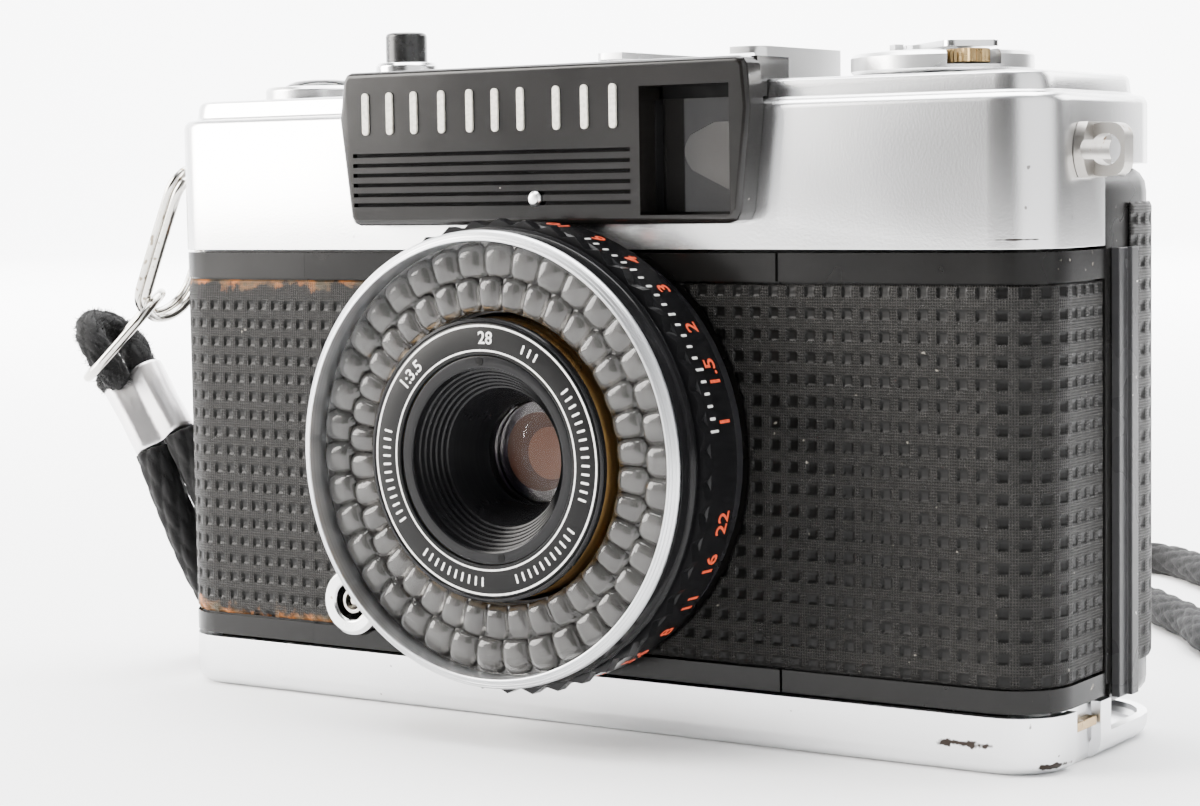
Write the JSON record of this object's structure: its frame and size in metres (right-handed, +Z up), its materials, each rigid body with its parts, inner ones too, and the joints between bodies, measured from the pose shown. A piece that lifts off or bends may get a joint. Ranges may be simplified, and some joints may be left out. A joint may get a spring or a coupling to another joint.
{
  "type": "half frame camera",
  "caption": "Compact half-frame film camera with a light-meter ring round its lens, thumbwheel film advance, rewind crank, accessory shoe, hinged back and a cord wrist strap",
  "frame": {"origin": "on the underside, below the centre of the camera's own box (strap left out)", "axes": "+X to the right when the lens faces the viewer, -Y the way the lens faces, +Z up"},
  "size_m": [0.1407, 0.1464, 0.0731],
  "materials": {
    "cast_body": "die cast, blackened",
    "satin_cover": "satin chrome plate",
    "satin_dial": "satin",
    "black_paint": "semi-gloss black paint",
    "black_enamel": "gloss black enamel",
    "black_anodised": "black anodised",
    "black_plastic": "moulded",
    "grey_metal": "worn grey lacquer",
    "bright_chrome": "polished, lightly pitted",
    "ring_wire": "nickel plated wire, dulled",
    "crimp_metal": "bright rolled",
    "brass": "aged",
    "blade_steel": "blackened",
    "leatherette": "embossed weave pattern",
    "coated_glass": "amber coated",
    "clear_plastic": "moulded, clear",
    "dark_cell": "dark metallic sheen",
    "cord_fabric": "braided, fuzzy"
  },
  "bodies": {
    "camera_body": {"chassis": "cast_body", "top_cover": "satin_cover", "bottom_plate": "satin_cover", "front_panel": "black_paint", "leatherette_right": "leatherette", "leatherette_left": "leatherette", "viewfinder_hood": "black_paint", "index_stud": "bright_chrome", "viewfinder_window": "coated_glass", "eyepiece_frame": "black_enamel", "eyepiece_glass": "coated_glass", "accessory_shoe": "satin_cover", "shoe_contact": "bright_chrome", "button_collar": "satin_cover", "counter_bezel": "satin_cover", "counter_glass": "clear_plastic", "hinge_pin": "bright_chrome", "latch_catch": "brass", "tripod_socket": "bright_chrome", "lens_barrel": "black_anodised", "meter_window": "clear_plastic", "meter_cell": "dark_cell", "lens_tube": "brass", "name_ring": "black_enamel", "lens_throat": "black_anodised", "front_element": "coated_glass", "rear_element": "coated_glass", "shutter_case": "cast_body", "pc_socket": "bright_chrome", "pc_contact": "brass", "strap_lug_right": "bright_chrome", "strap_lug_left": "bright_chrome", "strap_ring": "ring_wire", "strap_link": "ring_wire", "strap_loop": "cord_fabric", "strap_crimp": "crimp_metal", "strap_cord": "cord_fabric"},
    "release_button": {"shutter_button": "black_enamel"},
    "aperture_control": {"aperture_ring": "black_enamel"},
    "speed_control": {"film_speed_ring": "black_enamel", "filter_ring": "bright_chrome"},
    "advance_thumbwheel": {"advance_wheel": "black_anodised"},
    "takeup": {"takeup_spool": "black_plastic"},
    "sprocket": {"film_sprocket": "black_plastic"},
    "counter": {"counter_dial": "satin_dial"},
    "rewind_lifter": {"rewind_collar": "brass"},
    "rewind_shaft": {"rewind_knob": "satin_cover", "rewind_fork": "brass"},
    "crank": {"rewind_crank": "bright_chrome"},
    "crank_handle": {"crank_grip": "brass"},
    "door": {"back_door": "grey_metal", "door_leatherette": "leatherette", "pressure_spring": "brass"},
    "latch": {"door_latch": "grey_metal"},
    "film_plate": {"pressure_plate": "black_anodised"},
    "rewind_button": {"rewind_release": "bright_chrome"},
    "blade_right": {"shutter_blade_right": "blade_steel"},
    "blade_left": {"shutter_blade_left": "blade_steel"}
  },
  "joints": [
    {"name": "shutter_press", "type": "slide", "parent": "camera_body", "child": "release_button", "axis": [0, 0, -1], "range_m": [0, 0.0012], "stiffness_N_per_m": 300, "springref_m": -0.0005},
    {"name": "aperture_turn", "type": "hinge", "parent": "camera_body", "child": "aperture_control", "pos_m": [-0.0006, -0.0154, 0.0289], "axis": [0, 1, 0], "range_deg": [-50, 60]},
    {"name": "film_speed_turn", "type": "hinge", "parent": "camera_body", "child": "speed_control", "pos_m": [-0.0006, -0.0211, 0.0289], "axis": [0, 1, 0], "range_deg": [-30, 40]},
    {"name": "advance_turn", "type": "hinge", "parent": "camera_body", "child": "advance_thumbwheel", "pos_m": [-0.04, 0.0129, 0.0601], "axis": [0, 0, 1], "continuous": true},
    {"name": "takeup_turn", "type": "hinge", "parent": "camera_body", "child": "takeup", "pos_m": [-0.0365, 0.0038, 0.029], "axis": [0, 0, 1], "continuous": true},
    {"name": "sprocket_turn", "type": "hinge", "parent": "camera_body", "child": "sprocket", "pos_m": [-0.019, 0.0126, 0.029], "axis": [0, 0, 1], "continuous": true},
    {"name": "counter_turn", "type": "hinge", "parent": "camera_body", "child": "counter", "pos_m": [-0.0403, 0.0023, 0.0641], "axis": [0, 0, 1], "continuous": true},
    {"name": "rewind_lift", "type": "slide", "parent": "camera_body", "child": "rewind_lifter", "axis": [0, 0, 1], "range_m": [0, 0.009]},
    {"name": "rewind_turn", "type": "hinge", "parent": "rewind_lifter", "child": "rewind_shaft", "pos_m": [0.0367, 0.0043, 0.067], "axis": [0, 0, 1], "continuous": true},
    {"name": "crank_fold", "type": "hinge", "parent": "rewind_shaft", "child": "crank", "pos_m": [0.03436, 0.00648, 0.0689], "axis": [-0.682, -0.7314, 0], "range_deg": [0, 165]},
    {"name": "crank_grip_spin", "type": "hinge", "parent": "crank", "child": "crank_handle", "pos_m": [0.04182, -0.00047, 0.0678], "axis": [0, 0, 1], "continuous": true},
    {"name": "door_swing", "type": "hinge", "parent": "camera_body", "child": "door", "pos_m": [-0.0531, 0.0134, 0.03], "axis": [0, 0, 1], "range_deg": [0, 90]},
    {"name": "latch_slide", "type": "slide", "parent": "door", "child": "latch", "axis": [0, 0, -1], "range_m": [0, 0.0024], "stiffness_N_per_m": 250, "springref_m": -0.001},
    {"name": "pressure_plate_slide", "type": "slide", "parent": "door", "child": "film_plate", "axis": [0, 1, 0], "range_m": [-0.0003, 0.0004], "stiffness_N_per_m": 800},
    {"name": "rewind_release_press", "type": "slide", "parent": "camera_body", "child": "rewind_button", "axis": [0, 0, 1], "range_m": [0, 0.0008], "stiffness_N_per_m": 300, "springref_m": -0.0005},
    {"name": "blade_right_swing", "type": "hinge", "parent": "camera_body", "child": "blade_right", "pos_m": [0.0018, -0.0066, 0.0409], "axis": [0, -1, 0], "range_deg": [0, 28], "stiffness_Nm_per_rad": 0.0001, "springref_deg": -11.46},
    {"name": "blade_left_swing", "type": "hinge", "parent": "camera_body", "child": "blade_left", "pos_m": [-0.003, -0.0059, 0.0409], "axis": [0, -1, 0], "range_deg": [-28, 0]}
  ],
  "couplings": [
    {"joint": "takeup_turn", "follows": "advance_turn", "ratio": 0.787},
    {"joint": "sprocket_turn", "follows": "advance_turn", "ratio": 1.25},
    {"joint": "counter_turn", "follows": "advance_turn", "ratio": 0.0206},
    {"joint": "blade_left_swing", "follows": "blade_right_swing", "ratio": -1}
  ]
}
